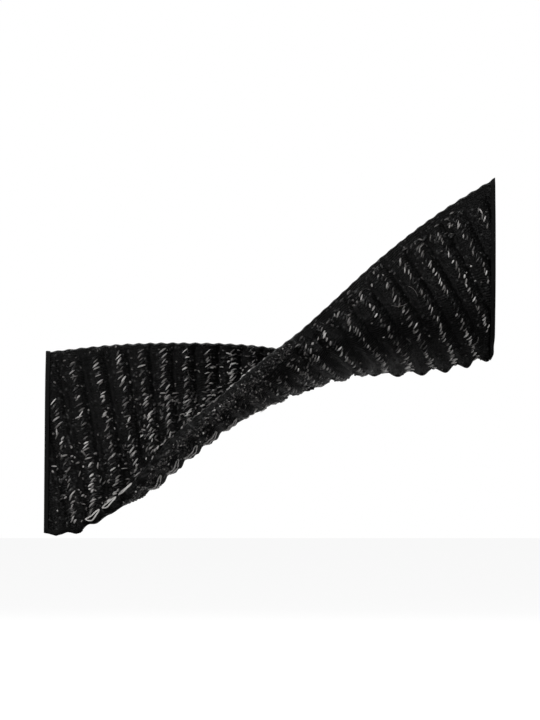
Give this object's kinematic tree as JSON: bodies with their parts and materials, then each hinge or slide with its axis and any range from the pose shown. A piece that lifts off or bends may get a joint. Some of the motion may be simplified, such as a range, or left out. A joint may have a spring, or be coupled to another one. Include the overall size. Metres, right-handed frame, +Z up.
{
  "type": "bow tie",
  "caption": "Clip-on bow tie of one wide black ribbed knit band with a half twist in its middle, two flared wings with bound ends, and a sprung collar clip behind the twist.",
  "frame": {"origin": "middle of the collar clip's raised seat, behind the twist", "axes": "+X to the wing tip on the right as seen from the front, +Y to the back, towards the wearer, +Z up"},
  "size_m": [0.12, 0.0546, 0.0959],
  "materials": {
    "ribbed_knit": "lustrous black rib knit with bright filaments in the valleys between its ribs",
    "interlining_cloth": "matt non-woven stiffener",
    "binding_tape": "fine plain-woven black tape",
    "backing_cloth": "matt black twill",
    "felt": "matt black felt",
    "sewing_thread": "slightly glossy twisted thread",
    "nickel_steel": "nickel-plated sheet steel, satin with fine scratches",
    "spring_steel": "bare spring wire",
    "grip_rubber": "matt dark rubber"
  },
  "bodies": {
    "tie": {"knit_sleeve": "ribbed_knit", "interlining": "interlining_cloth", "left_end_binding": "binding_tape", "right_end_binding": "binding_tape", "backing_patch": "backing_cloth", "patch_stitching": "sewing_thread", "mounting_pad": "felt", "clip_base_plate": "nickel_steel", "clip_base_grip": "grip_rubber", "clip_hinge_pin": "nickel_steel", "clip_spring": "spring_steel", "plate_stitch_left": "sewing_thread", "plate_stitch_right": "sewing_thread"},
    "jaw": {"clip_jaw": "nickel_steel", "clip_jaw_grip": "grip_rubber"}
  },
  "joints": [
    {"name": "jaw_hinge", "type": "hinge", "parent": "tie", "child": "jaw", "pos_m": [-0.00846, 0.0032, -0.00308], "axis": [-0.342, 0, 0.9397], "range_deg": [0, 32], "stiffness_Nm_per_rad": 0.06, "springref_deg": -51.57, "deforming": ["clip_spring"]}
  ]
}
